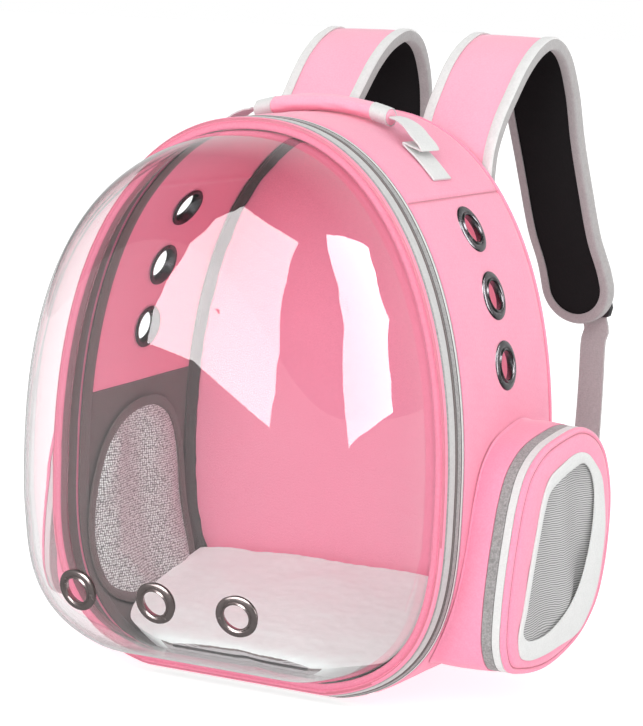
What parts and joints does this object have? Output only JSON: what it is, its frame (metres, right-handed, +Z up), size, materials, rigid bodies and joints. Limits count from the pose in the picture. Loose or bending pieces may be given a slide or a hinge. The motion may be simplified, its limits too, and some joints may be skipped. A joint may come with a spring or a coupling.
{
  "type": "pet carrier backpack",
  "caption": "Pink fabric pet carrier backpack with a clear bubble door, metal air eyelets, zipped side pockets with mesh windows, a plush mat, a roll handle and padded shoulder straps",
  "frame": {"origin": "Middle of the flat underside of the bottom panel, midway between the left and right walls and between the door ring and the back panel.", "axes": "+X is the carrier's side seen at the right from the front, the front with the bubble faces -Y and the shoulder straps stand out towards +Y, +Z is up."},
  "size_m": [0.4112, 0.5031, 0.4631],
  "materials": {
    "pink_fabric": "matte woven polyester, pink, with a fine cross weave",
    "light_tape": "matte light grey woven tape",
    "grey_tape": "matte mid grey woven tape and webbing",
    "felt_binding": "soft pale grey brushed binding",
    "dark_lining": "matte brownish grey lining",
    "black_lining": "matte black lining and binding",
    "grey_mesh": "fine light grey mesh",
    "plush": "short creamy white pile",
    "clear_plastic": "clear, polished",
    "gunmetal": "dark polished plating",
    "black_plastic": "moulded, slightly satin"
  },
  "bodies": {
    "root": {"top_panel": "pink_fabric", "bottom_panel": "pink_fabric", "back_panel": "pink_fabric", "front_ring": "pink_fabric", "zip_tape_front": "light_tape", "zip_teeth": "grey_tape", "zip_tape_rear": "grey_tape", "dome": "clear_plastic", "inner_front_binding": "dark_lining", "inner_back_binding": "black_lining", "plush_mat": "plush", "handle_grip": "pink_fabric", "side_wall_right": "pink_fabric", "side_wall_left": "pink_fabric", "inner_panel_right": "dark_lining", "inner_panel_left": "dark_lining", "inner_mesh_right": "grey_mesh", "inner_mesh_left": "grey_mesh", "inner_mesh_binding_right": "dark_lining", "inner_mesh_binding_left": "dark_lining", "pocket_wall_right": "pink_fabric", "pocket_wall_left": "pink_fabric", "pocket_tape_rear_right": "grey_tape", "pocket_tape_rear_left": "grey_tape", "pocket_tape_front_right": "light_tape", "pocket_tape_front_left": "light_tape", "pocket_face_right": "pink_fabric", "pocket_face_left": "pink_fabric", "pocket_window_binding_right": "light_tape", "pocket_window_binding_left": "light_tape", "pocket_mesh_right": "grey_mesh", "pocket_mesh_left": "grey_mesh", "handle_webbing_right": "light_tape", "handle_webbing_left": "light_tape", "strap_pad_right": "pink_fabric", "strap_pad_left": "pink_fabric", "strap_lining_right": "black_lining", "strap_lining_left": "black_lining", "strap_binding_right": "felt_binding", "strap_binding_left": "felt_binding", "ladder_buckle_right": "black_plastic", "ladder_buckle_left": "black_plastic", "lower_webbing_right": "grey_tape", "lower_webbing_left": "grey_tape", "side_eyelet_right_1": "gunmetal", "side_eyelet_right_2": "gunmetal", "side_eyelet_right_3": "gunmetal", "side_eyelet_left_1": "gunmetal", "side_eyelet_left_2": "gunmetal", "side_eyelet_left_3": "gunmetal", "front_eyelet_1": "gunmetal", "front_eyelet_2": "gunmetal", "front_eyelet_3": "gunmetal"}
  },
  "joints": []
}
